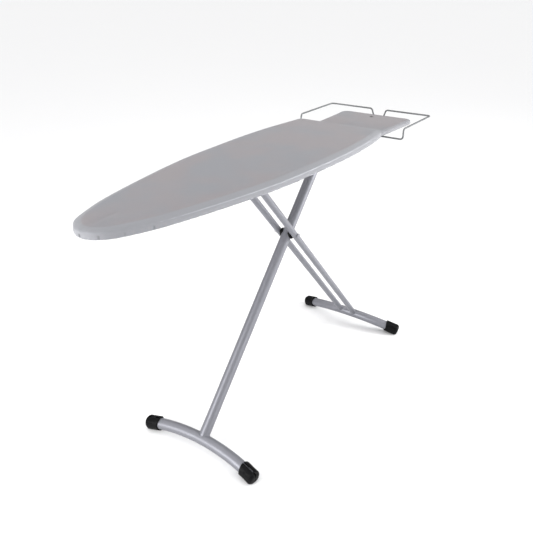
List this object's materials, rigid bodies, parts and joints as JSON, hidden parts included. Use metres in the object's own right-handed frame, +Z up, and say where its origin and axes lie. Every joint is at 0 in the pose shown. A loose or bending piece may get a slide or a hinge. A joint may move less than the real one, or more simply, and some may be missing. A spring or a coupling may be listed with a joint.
{
  "type": "ironing board",
  "caption": "Folding ironing board with a padded boat-shaped top, a lower rest plate with wire hoops for the iron, crossed tube legs and bowed feet with end caps.",
  "frame": {"origin": "on the floor under the middle of the overall box", "axes": "+X along the board from the nose to the rest plate, +Y across the board, +Z up; left is -Y"},
  "size_m": [1.4724, 0.4636, 0.9],
  "materials": {
    "cover_fabric": "silver-grey cotton-type weave",
    "felt": "pale needled felt",
    "mesh_steel": "silver-grey powder coat",
    "frame_steel": "silver-grey powder coat",
    "leg_steel": "silver-grey powder coat, satin",
    "wire_steel": "grey coated wire",
    "black_plastic": "moulded black, slightly glossy",
    "white_nylon": "natural nylon",
    "zinc_steel": "bright zinc plate",
    "fibreboard": "pressed fibreboard"
  },
  "bodies": {
    "board": {"board_cover": "cover_fabric", "felt_pad": "felt", "mesh_panel": "mesh_steel", "edge_rim": "frame_steel", "rest_plate_cover": "cover_fabric", "rest_plate_pad": "felt", "rest_plate": "fibreboard", "rest_plate_plug": "black_plastic", "rest_rail_left": "frame_steel", "rest_rail_right": "frame_steel", "rest_rail_screws": "zinc_steel", "brace_1": "frame_steel", "brace_2": "frame_steel", "cross_bar_1": "frame_steel", "cross_bar_2": "frame_steel", "cross_bar_3": "frame_steel", "spine_channel": "frame_steel", "leg_bracket": "frame_steel", "leg_pin": "zinc_steel", "rod_bracket_front": "frame_steel", "rod_bracket_rear": "frame_steel", "guide_rod": "zinc_steel", "iron_rest_left": "wire_steel", "iron_rest_right": "wire_steel", "wire_clamp_left": "black_plastic", "wire_clamp_right": "black_plastic", "wire_clamp_rear": "black_plastic"},
    "release": {"release_lever": "zinc_steel", "lever_grip": "black_plastic"},
    "front_leg": {"front_leg_tube": "leg_steel", "front_leg_plug": "black_plastic", "leg_bush": "white_nylon", "front_foot_tube": "leg_steel", "front_cap_left": "black_plastic", "front_cap_right": "black_plastic", "cross_spacer_left": "black_plastic", "cross_spacer_right": "black_plastic"},
    "rear_leg": {"rear_leg_tube_left": "leg_steel", "rear_leg_tube_right": "leg_steel", "rear_leg_plugs": "black_plastic", "rear_foot_tube": "leg_steel", "rear_cap_left": "black_plastic", "rear_cap_right": "black_plastic", "cross_bolt": "leg_steel", "cross_nut": "zinc_steel", "slider_axle": "zinc_steel", "axle_clips": "zinc_steel", "axle_washers": "white_nylon"},
    "slider": {"carriage": "black_plastic", "lock_spring": "zinc_steel"},
    "lock": {"lock_plates": "zinc_steel"}
  },
  "joints": [
    {"name": "leg_fold", "type": "hinge", "parent": "board", "child": "front_leg", "pos_m": [0.31775, 0, 0.855], "axis": [0, 1, 0], "range_deg": [0, 45.6]},
    {"name": "leg_cross", "type": "hinge", "parent": "front_leg", "child": "rear_leg", "pos_m": [0.08629, 0, 0.59246], "axis": [0, -1, 0], "range_deg": [0, 91.2]},
    {"name": "carriage_level", "type": "hinge", "parent": "rear_leg", "child": "slider", "pos_m": [-0.14517, 0, 0.855], "axis": [0, 1, 0], "range_deg": [0, 45.6]},
    {"name": "release_pull", "type": "hinge", "parent": "board", "child": "release", "pos_m": [-0.23625, -0.007, 0.8862], "axis": [-1, 0, 0], "range_deg": [0, 12], "stiffness_Nm_per_rad": 0.6, "springref_deg": -8.59},
    {"name": "lock_tilt", "type": "hinge", "parent": "slider", "child": "lock", "pos_m": [-0.15317, 0, 0.8639], "axis": [0, -1, 0], "range_deg": [0, 4.6]}
  ],
  "couplings": [
    {"joint": "leg_cross", "follows": "leg_fold", "ratio": 2},
    {"joint": "carriage_level", "follows": "leg_fold", "ratio": 1},
    {"joint": "lock_tilt", "follows": "release_pull", "ratio": 0.38}
  ]
}
